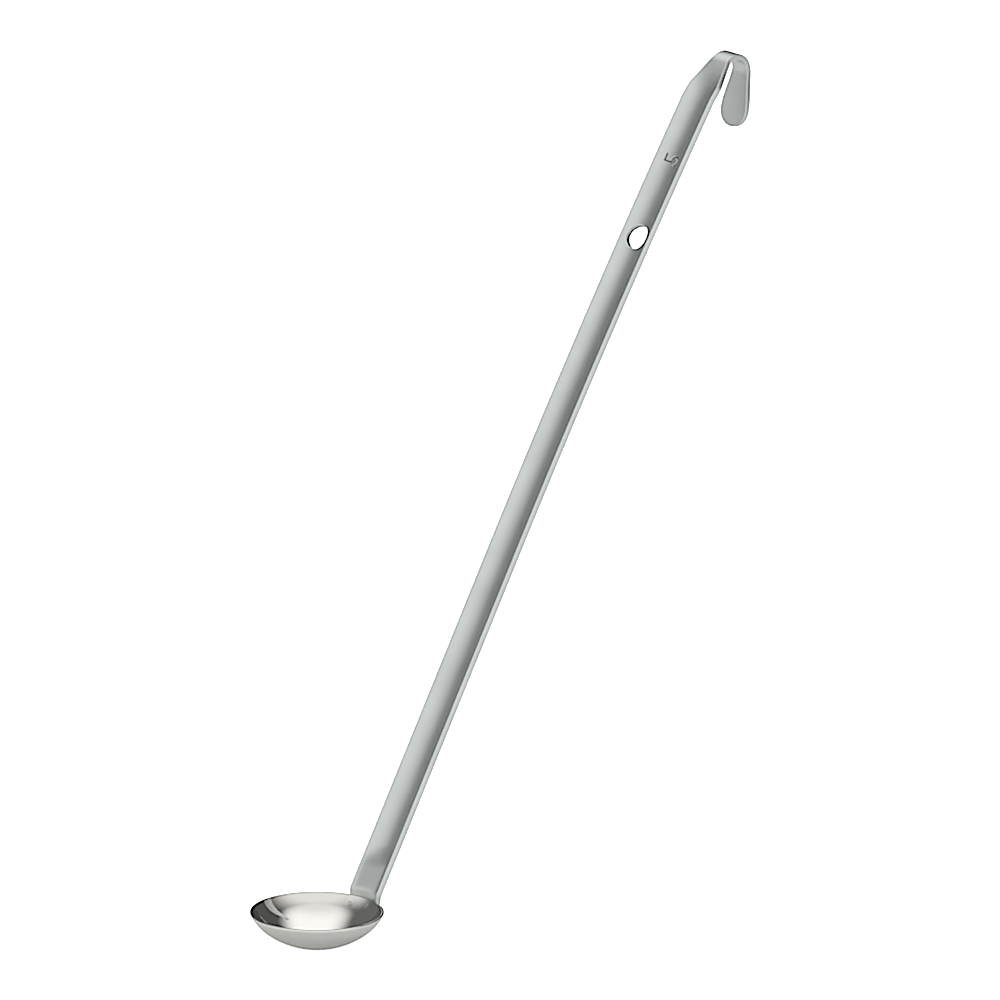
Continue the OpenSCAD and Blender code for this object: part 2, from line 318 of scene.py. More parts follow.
class StripShape:
    """The strip's path, width and hollow, measured along its front face from the rim."""

    def __init__(self, ladle):
        handle = ladle.handle
        hook = ladle.hook
        numeral = ladle.numeral
        bowl = BowlShape(ladle.bowl)
        self.handle = handle
        self.hook = hook
        self.wall = bowl.wall
        self.half = handle.strip_w / 2
        self.neck_half = hook.neck_w / 2
        self.paddle_r = hook.paddle_d / 2
        on_side = min(handle.foot_len, (bowl.rim_slope - bowl.floor_slope) * bowl.side_r)
        on_floor = handle.foot_len - on_side
        foot_slope = bowl.rim_slope - on_side / bowl.side_r - on_floor / bowl.floor_r
        foot = on_arc(bowl.side, bowl.side_r, foot_slope)
        if on_floor > 0:
            foot = on_arc(bowl.floor, bowl.floor_r, foot_slope)
        root_turn = handle.lean - math.pi / 2 + bowl.rim_slope
        root_len = abs(root_turn) * handle.root_r
        hook_len = hook.hook_turn * (hook.hook_r + handle.strip_t)
        arcs = [(on_floor, -on_floor / bowl.floor_r),
                (on_side, -on_side / bowl.side_r),
                (root_len, root_turn),
                (handle.shaft_len - root_len - handle.bow_len, 0),
                (handle.bow_len, handle.bow),
                (hook.lead_len, hook.lead_turn),
                (hook_len, hook.hook_turn),
                (hook.drop_len, 0)]
        place = (foot.x, foot.y, math.pi / 2 - foot_slope)
        start = -handle.foot_len
        self.legs = []
        for length, turn in arcs:
            self.legs.append((start, place, length, turn))
            place = go_on(place, length, turn)
            start += length
        self.round_foot_at = self.half - handle.foot_len
        self.neck_at = handle.shaft_len + hook.taper_len
        self.bend_at = handle.shaft_len + hook.lead_len
        self.drop_at = self.bend_at + hook_len
        self.paddle_at = self.drop_at + hook.drop_len - self.paddle_r
        self.trough_at = handle.root_flat + handle.root_blend
        self.run_out_at = handle.shaft_len - hook.run_out_on_shaft
        self.numeral_at = handle.shaft_len - numeral.from_hook
        self.numeral_reach = numeral.width / 2 + 2 * numeral.stroke
        self.hole_at = handle.shaft_len - handle.hole_from_hook
        hole = self.place(self.hole_at)
        self.rim_centre = self.normal(hole) * handle.strip_t / 2 - Vector((hole[0], 0, hole[1]))

    def place(self, s):
        """Place on the path, as x, z and lean."""
        leg = self.legs[0]
        for later in self.legs[1:]:
            if later[0] <= s:
                leg = later
        start, place, length, turn = leg
        share = (s - start) / length if length > 0 else 0
        return go_on(place, s - start, turn * share)

    def normal(self, place):
        """Direction out of the front face."""
        return Vector((-math.cos(place[2]), 0, math.sin(place[2])))

    def tangent(self, place):
        """Direction along the strip, away from the bowl."""
        return Vector((math.sin(place[2]), 0, math.cos(place[2])))

    def point(self, place):
        """Point of the path in the frame, whose origin is the middle of the hanging hole."""
        return Vector((place[0], 0, place[1])) + self.rim_centre

    def half_width(self, s):
        """Half the width of the strip between its round ends."""
        if s < self.handle.shaft_len:
            return self.half
        if s < self.neck_at:
            share = (s - self.handle.shaft_len) / self.hook.taper_len
            return self.half + (self.neck_half - self.half) * share
        share = ease((s - self.paddle_at) / self.hook.paddle_blend + 1)
        return self.neck_half + (self.paddle_r - self.neck_half) * share

    def hollow(self, s):
        """Curvature of the front face across the strip."""
        foot = self.place(min(s, 0))
        hug = math.cos(foot[2]) / foot[0]
        deep = hug + (1 / self.handle.trough_r - hug) * ease(s / self.handle.root_rise)
        return deep * (1 - ease((s - self.run_out_at) / self.hook.run_out))

    def flatness(self, s):
        """Share of the flat, raised floor that the trough has just above the rim."""
        deepening = ease((s - self.handle.root_flat) / self.handle.root_blend)
        return ease(s / self.handle.root_rise) * (1 - deepening)

    def rise(self, s, y):
        """Rise of the front face above the path at a sideways distance from its middle."""
        flat = self.flatness(s)
        trough = cup(1 / self.handle.trough_r, self.half)
        floor = trough * (1 - 2 / FLAT_POWER * (1 - abs(y / self.half) ** FLAT_POWER))
        return (1 - flat) * cup(self.hollow(s), y) + flat * floor

    def tilt(self, s, y):
        """Lean of the front face across the strip."""
        flat = self.flatness(s)
        trough = cup(1 / self.handle.trough_r, self.half)
        floor = 2 * trough / self.half * math.copysign(abs(y / self.half) ** (FLAT_POWER - 1), y)
        arc = math.tan(math.asin(self.hollow(s) * y))
        return math.atan((1 - flat) * arc + flat * floor)

    def front(self, s, y):
        """Point of the front face at a sideways distance from its middle."""
        place = self.place(s)
        return self.point(place) + y * SIDEWAYS + self.rise(s, y) * self.normal(place)

    def back(self, s, y):
        """Point of the back face at a sideways distance from its middle."""
        place = self.place(s)
        thick = self.handle.strip_t
        front_y = y
        for _ in range(BACK_STEPS):
            front_y = (front_y + y - thick * math.sin(self.tilt(s, front_y))) / 2
        rise = self.rise(s, front_y) - thick * math.cos(self.tilt(s, front_y))
        return self.point(place) + y * SIDEWAYS + rise * self.normal(place)

    def weld_places(self, welds):
        """Middles and inward directions of the two welds on the inside of the wall."""
        place = self.place(-welds.below)
        inward = self.normal(place)
        inner = Vector((place[0], 0, place[1])) + inward * self.wall
        turn = math.asin((self.half - welds.inset) / inner.x)
        turns = [Matrix.Rotation(side * turn, 3, "Z") for side in (-1, 1)]
        return [(m @ inner + self.rim_centre, m @ inward) for m in turns]


# Meshes
# Faces across the strip, over its edges, around its ends, and on the bowl, the hole and the welds
COLUMNS = 72
CORNER_STEPS = 4
END_STEPS = 15
RIM_STEPS = 6
BOWL_SEGMENTS = 256
HOLE_RINGS = 8
WELD_RINGS = 6
WELD_SEGMENTS = 32
# Distances between the rows of the strip
FOOT_ROWS = 1 * MM
SHAFT_ROWS = 5 * MM
HOLE_ROWS = 0.7 * MM
UPPER_ROWS = 2 * MM
NUMERAL_ROWS = 0.14 * MM
LEAD_ROWS = 0.8 * MM
BEND_ROWS = 0.4 * MM
DROP_ROWS = 0.7 * MM
# Distance to both sides of a row over which the turn of the strip's side edge is taken
TURN_REACH = 0.15 * MM
# Distance between the rings of the bowl, and how much its segments crowd towards the welds
BOWL_ROWS = 0.4 * MM
CROWDING = 0.6
# Share of the hole's wall that the punch burnished before the steel tore
BURNISHED = 0.5
# The numeral's belly and stem, as shares of its height and width, and the ends of its belly
BELLY_R = 0.265
BELLY_X = -0.05
STEM_X = -0.2
BELLY_FROM = math.radians(-170)
BELLY_TO = math.radians(106)
# Share of the struck line that is flat at its bottom
STRIKE_FLAT = 0.5
# Radius of a dent as a share of its weld's diameter, and the depth of the weld's middle as a share of
# the dent's
DENT_SPREAD = 0.65
WELD_SUNK = 0.6
# Bend of the wall under a weld
WALL_BEND = 18 * MM
# Points closer than this are one
MERGE = 0.001 * MM
# Name of the layer that holds how deep each point is struck
STRIKE = "strike"
# Places of the materials in the lists of the strip and of the bowl
SATIN = 0
PUNCHED = 1
POLISHED = 0
OUTSIDE = 1


def bridge(bm, near, far, material=0):
    """Faces between two lists of vertices, which may be a single shared vertex."""
    for i in range(max(len(near), len(far)) - 1):
        a = near[i:i + 2] if len(near) > 1 else near
        b = far[i:i + 2] if len(far) > 1 else far
        bm.faces.new(a + b[::-1]).material_index = material


def add_piece(name, bm, node, materials):
    """A smooth object of the mesh that rides on the ladle and stands for a node of the frame."""
    bmesh.ops.remove_doubles(bm, verts=bm.verts, dist=MERGE)
    bmesh.ops.recalc_face_normals(bm, faces=bm.faces)
    mesh = bpy.data.meshes.new(name)
    bm.to_mesh(mesh)
    bm.free()
    mesh.shade_smooth()
    piece = bpy.data.objects.new(name, mesh)
    bpy.context.scene.collection.objects.link(piece)
    for material in materials:
        mesh.materials.append(material)
    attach(piece, "root")
    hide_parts(node)


def numeral_gap(numeral, x, y):
    """Distance from a point to the line of the struck numeral, a plain 5."""
    top = numeral.height / 2
    belly_r = BELLY_R * numeral.height
    belly_x = BELLY_X * numeral.width
    belly_y = belly_r - top
    stem_x = STEM_X * numeral.width
    bend = math.atan2(y - belly_y, x - belly_x)
    bend = min(max(bend, BELLY_FROM), BELLY_TO)
    belly = Vector((belly_x + belly_r * math.cos(bend), belly_y + belly_r * math.sin(bend)))
    stem_foot = belly_y + belly_r * math.sin(BELLY_TO)
    stem = Vector((stem_x, min(max(y, stem_foot), top)))
    bar = Vector((min(max(x, stem_x), numeral.width / 2), top))
    spot = Vector((x, y))
    return min((spot - line).length for line in (belly, stem, bar))


def strike_share(shape, numeral, s, y):
    """Share of the numeral's depth that is struck into a point of the front face."""
    if abs(s - shape.numeral_at) > shape.numeral_reach:
        return 0
    gap = numeral_gap(numeral, s - shape.numeral_at, y)
    return 1 - ease(2 * gap / numeral.stroke - STRIKE_FLAT)


def strip_rows(shape):
    """Rows of the strip as station, half width and the turn of its side edge."""
    marks = [(shape.round_foot_at, FOOT_ROWS),
             (0, FOOT_ROWS),
             (shape.trough_at, SHAFT_ROWS),
             (shape.hole_at - shape.half, HOLE_ROWS),
             (shape.hole_at + shape.half, UPPER_ROWS),
             (shape.numeral_at - shape.numeral_reach, NUMERAL_ROWS),
             (shape.numeral_at + shape.numeral_reach, UPPER_ROWS),
             (shape.run_out_at, LEAD_ROWS),
             (shape.bend_at, BEND_ROWS),
             (shape.drop_at, DROP_ROWS),
             (shape.paddle_at, DROP_ROWS)]
    stations = []
    for (start, spacing), (end, _) in zip(marks, marks[1:]):
        stations += spread(start, end, spacing)
    turns = [math.pi / 2 * i / END_STEPS for i in range(END_STEPS + 1)]
    rows = [(shape.round_foot_at - shape.half * math.cos(a), shape.half * math.sin(a), a - math.pi / 2)
            for a in turns[:-1]]
    for s in stations:
        widening = shape.half_width(s + TURN_REACH) - shape.half_width(s - TURN_REACH)
        rows.append((s, shape.half_width(s), -math.atan(widening / (2 * TURN_REACH))))
    rows += [(shape.paddle_at + shape.paddle_r * math.sin(a), shape.paddle_r * math.cos(a), a)
             for a in turns]
    return rows


def strip_ring(shape, row, numeral):
    """Points around the strip at one row, as front, one edge, back, other edge, and the front's strikes."""
    s, half, turn = row
    place = shape.place(s)
    normal = shape.normal(place)
    thick = shape.handle.strip_t
    front_r = shape.handle.edge_r
    back_r = shape.handle.back_edge_r
    tilt = shape.tilt(s, half)
    corners = [math.pi / 2 * i / CORNER_STEPS for i in range(CORNER_STEPS + 1)]
    edges = []
    for side in (1, -1):
        across = side * math.cos(tilt) * SIDEWAYS + math.sin(tilt) * normal
        out = math.sin(turn) * shape.tangent(place) + math.cos(turn) * across
        deep = side * math.sin(tilt) * SIDEWAYS - math.cos(tilt) * normal
        front_in = shape.front(s, side * half) - front_r * out
        back_in = shape.front(s, side * half) - back_r * out + thick * deep
        near = [front_in + front_r * (math.sin(a) * out + (1 - math.cos(a)) * deep) for a in corners[1:]]
        far = [back_in + back_r * (math.cos(a) * out + (math.sin(a) - 1) * deep) for a in corners[:-1]]
        edges.append(near + far)
        front_half = abs(front_in.y)
        back_half = abs(back_in.y)
    front_at = s - front_r * math.sin(turn)
    back_at = s - back_r * math.sin(turn)
    shares = [2 * i / COLUMNS - 1 for i in range(COLUMNS + 1)]
    front_y = [u * front_half for u in shares]
    back_y = [-u * back_half for u in shares]
    strikes = [strike_share(shape, numeral, front_at, y) for y in front_y]
    front = [shape.front(front_at, y) - numeral.depth * strike * normal
             for y, strike in zip(front_y, strikes)]
    back = [shape.back(back_at, y) for y in back_y]
    return front + edges[0] + back + edges[1][::-1], strikes


def hole_side(bm, shape, border, face, inward, wall_material):
    """Faces from the border around the hanging hole over its rounded edge, on one face."""
    hole_r = shape.handle.hole_d / 2
    edge_r = shape.handle.hole_edge_r
    depth = inward * shape.normal(shape.place(shape.hole_at))
    spokes = []
    for vert, s in border:
        bend = math.atan2(vert.co.y, s - shape.hole_at)
        along = math.cos(bend)
        across = math.sin(bend)
        start = Vector((s, vert.co.y))
        end = Vector((shape.hole_at + (hole_r + edge_r) * along, (hole_r + edge_r) * across))
        flat = [start.lerp(end, i / HOLE_RINGS) for i in range(1, HOLE_RINGS + 1)]
        points = [face(p.x, p.y) for p in flat]
        lip = face(shape.hole_at + hole_r * along, hole_r * across)
        wall = lip + edge_r * depth
        for i in range(1, CORNER_STEPS + 1):
            t = i / CORNER_STEPS
            points.append((1 - t) ** 2 * points[HOLE_RINGS - 1] + 2 * t * (1 - t) * lip + t * t * wall)
        spokes.append([vert] + [bm.verts.new(p) for p in points])
    wall_from = HOLE_RINGS + CORNER_STEPS // 2
    for near, far in zip(spokes, spokes[1:] + spokes[:1]):
        bridge(bm, near[:wall_from + 1], far[:wall_from + 1])
        bridge(bm, near[wall_from:], far[wall_from:], wall_material)
    return [spoke[-1] for spoke in spokes]


def strip_mesh(ladle):
    """The whole strip: foot, trough, hanging hole, struck numeral, hook and paddle."""
    shape = StripShape(ladle)
    bm = bmesh.new()
    strike_layer = bm.verts.layers.float.new(STRIKE)
    rows = strip_rows(shape)
    first = min(range(len(rows)), key=lambda i: abs(rows[i][0] - shape.hole_at + shape.half))
    last = min(range(len(rows)), key=lambda i: abs(rows[i][0] - shape.hole_at - shape.half))
    front_end = COLUMNS
    back_start = front_end + 2 * CORNER_STEPS + 1
    back_end = back_start + COLUMNS
    rings = []
    for r, row in enumerate(rows):
        inside = first < r < last
        hidden = set(range(1, front_end)) | set(range(back_start + 1, back_end)) if inside else set()
        points, strikes = strip_ring(shape, row, ladle.numeral)
        ring = [None if i in hidden else bm.verts.new(p) for i, p in enumerate(points)]
        for vert, strike in zip(ring, strikes):
            if vert and strike > 0:
                vert[strike_layer] = strike
        rings.append(ring)
    for r, (near, far) in enumerate(zip(rings, rings[1:])):
        near = near + near[:1]
        far = far + far[:1]
        spans = [(0, len(near))]
        if first <= r < last:
            spans = [(front_end, back_start + 1), (back_end, len(near))]
        for start, end in spans:
            bridge(bm, near[start:end], far[start:end])
    walls = []
    faces = ((0, front_end, shape.front, -1, SATIN), (back_end, back_start, shape.back, 1, PUNCHED))
    for left, right, face, inward, wall_material in faces:
        step = 1 if right > left else -1
        border = [(rings[first][i], rows[first][0]) for i in range(left, right, step)]
        border += [(rings[r][right], rows[r][0]) for r in range(first, last)]
        border += [(rings[last][i], rows[last][0]) for i in range(right, left, -step)]
        border += [(rings[r][left], rows[r][0]) for r in range(last, first, -1)]
        walls.append(hole_side(bm, shape, border, face, inward, wall_material))
    walls.insert(1, [bm.verts.new(a.co.lerp(b.co, BURNISHED)) for a, b in zip(*walls)])
    for near, far, material in zip(walls, walls[1:], (SATIN, PUNCHED)):
        bridge(bm, near + near[:1], far + far[:1], material)
    return bm


def bowl_mesh(ladle):
    """The bowl: polished inside and rim, satin outside, with a dent at each weld."""
    shape = BowlShape(ladle.bowl)
    strip = StripShape(ladle)
    inside = shape.wall_line(shape.wall, BOWL_ROWS)
    rim = shape.rim_line(RIM_STEPS)
    profile = inside + rim + shape.wall_line(0, BOWL_ROWS)[::-1]
    outside_from = len(inside) + len(rim) - 1
    places = [middle for middle, _ in strip.weld_places(ladle.welds)]
    dent_r = DENT_SPREAD * ladle.welds.weld_d
    steps = [2 * math.pi * i / BOWL_SEGMENTS for i in range(BOWL_SEGMENTS)]
    turns = [u - CROWDING * math.sin(u) for u in steps]
    bm = bmesh.new()
    rings = []
    for i, (spot, slope) in enumerate(profile):
        ring = []
        for turn in turns if spot.x > MERGE else turns[:1]:
            round_z = Vector((math.cos(turn), math.sin(turn), 0))
            point = strip.rim_centre + spot.x * round_z + Vector((0, 0, spot.y))
            if i < len(inside):
                outward = math.sin(slope) * round_z - Vector((0, 0, math.cos(slope)))
                gap = min((point - middle).length for middle in places)
                point += ladle.welds.dent * max(0, 1 - (gap / dent_r) ** 2) ** 2 * outward
            ring.append(bm.verts.new(point))
        rings.append(ring + ring[:1] if len(ring) > 1 else ring)
    for i, (near, far) in enumerate(zip(rings, rings[1:])):
        bridge(bm, near, far, POLISHED if i < outside_from else OUTSIDE)
    return bm


def weld_mesh(ladle):
    """The two weld nuggets, each a low dome at the bottom of its dent."""
    welds = ladle.welds
    reach = ladle.bowl.wall + welds.in_strip
    turns = [2 * math.pi * i / WELD_SEGMENTS for i in range(WELD_SEGMENTS)]
    bm = bmesh.new()
    for middle, inward in StripShape(ladle).weld_places(welds):
        side = inward.orthogonal().normalized()
        other = inward.cross(side)
        spokes = [math.cos(a) * side + math.sin(a) * other for a in turns]
        rings = [[bm.verts.new(middle - WELD_SUNK * welds.dent * inward)]]
        rounds = [welds.weld_d / 2 * i / WELD_RINGS for i in range(1, WELD_RINGS + 1)]
        levels = [r * r / (2 * WALL_BEND) - welds.dent * (WELD_SUNK + 2 * (r / welds.weld_d) ** 2)
                  for r in rounds]
        for r, level in zip(rounds + rounds[-1:], levels + [-reach]):
            ring = [bm.verts.new(middle + level * inward + r * spoke) for spoke in spokes]
            rings.append(ring + ring[:1])
        rings.append([bm.verts.new(middle - reach * inward)])
        for near, far in zip(rings, rings[1:]):
            bridge(bm, near, far)
    return bm


# Materials
# Places of the colour sockets among a mix node's inputs and outputs
MIX_COLOUR_A = 6
MIX_COLOUR_B = 7
MIX_COLOUR = 2
# The grain is really about 0.1 mm, the tears 0.2 mm and the polishing rings 0.3 mm apart, and all three
# are drawn coarser so that they show
GRAIN = 0.7 * MM
CLOUD = 14 * MM
TEAR = 0.5 * MM
HEAT_MARK = 0.6 * MM
POLISH_RING = 6.28 * MM
# Rings that a wave texture draws in one unit
RINGS_IN_UNIT = 10 / math.pi
# How far the grain and the rings change the roughness, and the clouds the colour
GRAIN_ROUGHNESS = 0.04
RING_ROUGHNESS = (0.8, 1.25)
CLOUD_SHADES = (0.96, 1.03)


def add_node(tree, kind, inputs, **settings):
    """A new node with its settings, and its inputs set to values or linked to other outputs."""
    node = tree.nodes.new(kind)
    for name, value in settings.items():
        setattr(node, name, value)
    for name, value in inputs.items():
        if isinstance(value, bpy.types.NodeSocket):
            tree.links.new(value, node.inputs[name])
        else:
            node.inputs[name].default_value = value
    return node


def new_material(name):
    """An empty node material and its tree."""
    material = bpy.data.materials.new(name)
    material.use_nodes = True
    material.node_tree.nodes.clear()
    return material, material.node_tree


def satin_steel(name, tone, finish):
    """Tumbled stainless steel: a soft, faintly grainy gloss with no direction, darkened by painted shade
    where it is struck.
    """
    material, tree = new_material(name)
    place = add_node(tree, "ShaderNodeTexCoord", {}).outputs["Object"]
    grain = add_node(tree, "ShaderNodeTexNoise", {"Vector": place, "Scale": 1 / GRAIN, "Detail": 3})
    cloud = add_node(tree, "ShaderNodeTexNoise", {"Vector": place, "Scale": 1 / CLOUD, "Detail": 2})
    rough = add_node(tree, "ShaderNodeMapRange", {
        "Value": grain.outputs["Fac"], "From Min": 0.25, "From Max": 0.75,
        "To Min": finish.satin_roughness - GRAIN_ROUGHNESS,
        "To Max": finish.satin_roughness + GRAIN_ROUGHNESS})
    shade = add_node(tree, "ShaderNodeMapRange", {
        "Value": cloud.outputs["Fac"], "From Min": 0.3, "From Max": 0.7, "To Min": CLOUD_SHADES[0],
        "To Max": CLOUD_SHADES[1]})
    tint = add_node(tree, "ShaderNodeVectorMath", {0: list(tone), "Scale": shade.outputs[0]},
                    operation="SCALE")
    # Painted shade: the struck line is darkened towards the struck colour, as far as it is struck
    strike = add_node(tree, "ShaderNodeAttribute", {}, attribute_name=STRIKE).outputs["Fac"]
    struck_shade = add_node(tree, "ShaderNodeMix", {
        "Factor": strike, MIX_COLOUR_A: tint.outputs[0], MIX_COLOUR_B: list(finish.struck) + [1]},
        data_type="RGBA")
    bump = add_node(tree, "ShaderNodeBump", {
        "Height": grain.outputs["Fac"], "Strength": 0.06, "Distance": 0.02 * MM})
    steel = add_node(tree, "ShaderNodeBsdfPrincipled", {
        "Base Color": struck_shade.outputs[MIX_COLOUR], "Metallic": 1, "Roughness": rough.outputs[0],
        "Normal": bump.outputs[0]})
    add_node(tree, "ShaderNodeOutputMaterial", {"Surface": steel.outputs[0]})
    return material


def punched_steel_and_shade(finish):
    """Stainless steel sheared by a punch: a torn, dull and dark wall, the dark partly painted shade in the
    hole.
    """
    material, tree = new_material("stainless_steel_punched_edge_and_shade")
    place = add_node(tree, "ShaderNodeTexCoord", {}).outputs["Object"]
    tears = add_node(tree, "ShaderNodeTexNoise", {"Vector": place, "Scale": 1 / TEAR, "Detail": 2})
    rough = add_node(tree, "ShaderNodeMapRange", {
        "Value": tears.outputs["Fac"], "To Min": 0.4, "To Max": 0.6})
    steel = add_node(tree, "ShaderNodeBsdfPrincipled", {
        "Base Color": list(finish.punched_and_shade) + [1], "Metallic": 1, "Roughness": rough.outputs[0]})
    add_node(tree, "ShaderNodeOutputMaterial", {"Surface": steel.outputs[0]})
    return material


def polished_steel(finish, centre):
    """Stainless steel polished on a wheel: a near mirror with faint rings around the bowl."""
    material, tree = new_material("stainless_steel_wheel_polished")
    place = add_node(tree, "ShaderNodeTexCoord", {}).outputs["Object"]
    local = add_node(tree, "ShaderNodeVectorMath", {0: place, 1: centre}, operation="SUBTRACT")
    rings = add_node(tree, "ShaderNodeTexWave", {
        "Vector": local.outputs[0], "Scale": 1 / (RINGS_IN_UNIT * POLISH_RING), "Distortion": 1.5,
        "Detail": 2}, wave_type="RINGS", rings_direction="Z")
    rough = add_node(tree, "ShaderNodeMapRange", {
        "Value": rings.outputs["Fac"], "To Min": RING_ROUGHNESS[0] * finish.polish_roughness,
        "To Max": RING_ROUGHNESS[1] * finish.polish_roughness})
    bump = add_node(tree, "ShaderNodeBump", {
        "Height": rings.outputs["Fac"], "Strength": 0.05, "Distance": 0.01 * MM})
    steel = add_node(tree, "ShaderNodeBsdfPrincipled", {
        "Base Color": list(finish.polished) + [1], "Metallic": 1, "Roughness": rough.outputs[0],
        "Normal": bump.outputs[0]})
    add_node(tree, "ShaderNodeOutputMaterial", {"Surface": steel.outputs[0]})
    return material


def weld_steel(finish):
    """Stainless steel that was melted and flattened by an electrode: dull, with a faint warm tint."""
    material, tree = new_material("stainless_steel_spot_weld")
    place = add_node(tree, "ShaderNodeTexCoord", {}).outputs["Object"]
    marks = add_node(tree, "ShaderNodeTexNoise", {"Vector": place, "Scale": 1 / HEAT_MARK, "Detail": 2})
    rough = add_node(tree, "ShaderNodeMapRange", {
        "Value": marks.outputs["Fac"], "To Min": 0.2, "To Max": 0.36})
    steel = add_node(tree, "ShaderNodeBsdfPrincipled", {
        "Base Color": list(finish.weld) + [1], "Metallic": 1, "Roughness": rough.outputs[0]})
    add_node(tree, "ShaderNodeOutputMaterial", {"Surface": steel.outputs[0]})
    return material


def lit_floor(stage):
    """Matt white acrylic table that is also lit from below, so that it stays pale."""
    material, tree = new_material("acrylic_table_matt")
    seen = add_node(tree, "ShaderNodeLightPath", {}).outputs["Is Camera Ray"]
    glow = add_node(tree, "ShaderNodeMix", {
        "Factor": seen, "A": stage.floor_glow, "B": stage.floor_white})
    acrylic = add_node(tree, "ShaderNodeBsdfPrincipled", {
        "Base Color": list(stage.floor) + [1], "Roughness": 0.9, "Specular IOR Level": 0,
        "Emission Color": (1, 1, 1, 1), "Emission Strength": glow.outputs[0]})
    add_node(tree, "ShaderNodeOutputMaterial", {"Surface": acrylic.outputs[0]})
    return material


# Stage
# Middle of a sheet in its own generated coordinates
MIDDLE = 0.5
# Where the zones of the dome begin and end, as parts of a direction of length 1
DARK_FROM_LEFT = (-0.6, 0.6)
FILL_HEIGHTS = (0.75, 1)
CAMERA_SIDE = (-0.3, 0.6)
OVERHEAD = (0.68, 0.95)


def add_sheet(name, corners, material):
    """A flat sheet of the stage."""
    mesh = bpy.data.meshes.new(name)
    mesh.from_pydata(corners, [], [(0, 1, 2, 3)])
    mesh.materials.append(material)
    sheet = bpy.data.objects.new(name, mesh)
    bpy.context.scene.collection.objects.link(sheet)
    return sheet


def add_floor(stage):
    """The pale floor under the bowl."""
    half = stage.floor_w / 2
    low = CAD_BOX[0][2]
    corners = [(-half, -half, low), (half, -half, low), (half, half, low), (-half, half, low)]
    add_sheet("floor", corners, lit_floor(stage))


def lit_cloth(name, light, fades):
    """Cloth of a lit screen, which fades into the studio towards its edges."""
    material, tree = new_material(name)
    place = add_node(tree, "ShaderNodeTexCoord", {}).outputs["Generated"]
    spot = add_node(tree, "ShaderNodeSeparateXYZ", {"Vector": place})
    share = 1
    for axis, fade in fades.items():
        aside = add_node(tree, "ShaderNodeMath", {0: MIDDLE, 1: spot.outputs[axis]}, operation="SUBTRACT")
        apart = add_node(tree, "ShaderNodeMath", {0: aside.outputs[0]}, operation="ABSOLUTE")
        inside = add_node(tree, "ShaderNodeMapRange", {
            "Value": apart.outputs[0], "From Min": MIDDLE, "From Max": MIDDLE - fade},
            interpolation_type="SMOOTHSTEP")
        share = add_node(tree, "ShaderNodeMath", {0: share, 1: inside.outputs[0]},
                         operation="MULTIPLY").outputs[0]
    clear = add_node(tree, "ShaderNodeBsdfTransparent", {})
    lit = add_node(tree, "ShaderNodeEmission", {"Strength": light})
    cloth = add_node(tree, "ShaderNodeMixShader", {0: share, 1: clear.outputs[0], 2: lit.outputs[0]})
    add_node(tree, "ShaderNodeOutputMaterial", {"Surface": cloth.outputs[0]})
    return material


def add_screen(stage, name, light, rim_centre, middle, span):
    """A lit screen out of the camera's sight, placed to the right of the rim, beyond it and above it."""
    flat = [axis for axis in range(3) if span[axis] > 0]
    corners = []
    for signs in ((-1, -1), (1, -1), (1, 1), (-1, 1)):
        corner = Vector()
        for axis, sign in zip(flat, signs):
            corner[axis] = sign * span[axis] / 2
        corners.append(corner)
    fades = {"XYZ"[axis]: stage.screen_fade / span[axis] for axis in flat}
    screen = add_sheet(name, corners, lit_cloth(name + "_cloth", light, fades))
    turn = Matrix.Rotation(stage.azimuth, 4, "Z")
    screen.matrix_world = Matrix.Translation(rim_centre) @ turn @ Matrix.Translation(middle)
    screen.visible_camera = False


def add_screens(stage, rim_centre):
    """The light box over the ladle and the white screen on its left."""
    add_screen(stage, "light_box", stage.box_light, rim_centre,
               (stage.box_right, stage.box_away, stage.box_up), (stage.box_w, stage.box_l, 0))
    add_screen(stage, "side_screen", stage.side_light, rim_centre,
               (-stage.side_left, -stage.side_near, stage.side_up), (0, stage.side_l, stage.side_h))


